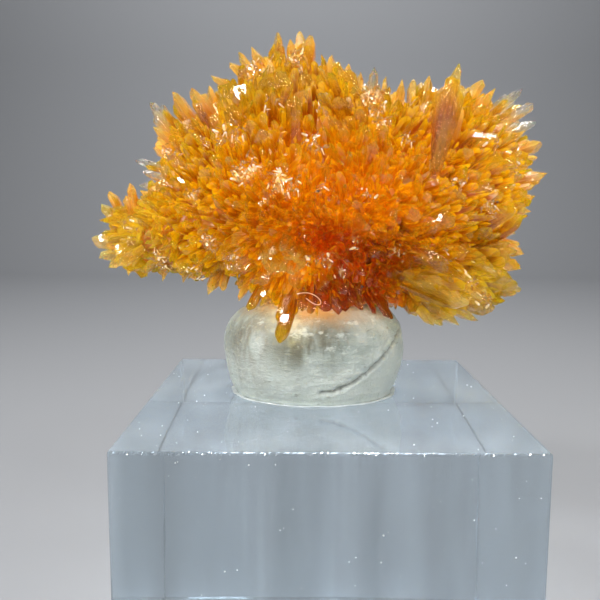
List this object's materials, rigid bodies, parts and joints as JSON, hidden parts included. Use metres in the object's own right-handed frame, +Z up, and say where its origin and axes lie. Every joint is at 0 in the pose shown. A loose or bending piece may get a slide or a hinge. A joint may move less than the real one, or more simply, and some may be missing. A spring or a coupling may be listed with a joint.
{
  "type": "creedite crystal cluster on a display block",
  "caption": "Spiny orange creedite crystal cluster stuck with a ball of mineral putty on a clear square display block.",
  "frame": {"origin": "centre of the block's underside, which rests on the shelf", "axes": "+Z up through the block, +X to the right of the specimen's front, -Y out of its front"},
  "size_m": [0.064, 0.05, 0.0875],
  "materials": {
    "clear_acrylic": "clear cast acrylic, polished",
    "mineral_putty": "greenish white putty, satin",
    "orange_crystal": "glassy orange crystal, see-through at the tips"
  },
  "bodies": {
    "root": {"acrylic_block": "clear_acrylic", "putty": "mineral_putty", "creedite": "orange_crystal"}
  },
  "joints": []
}
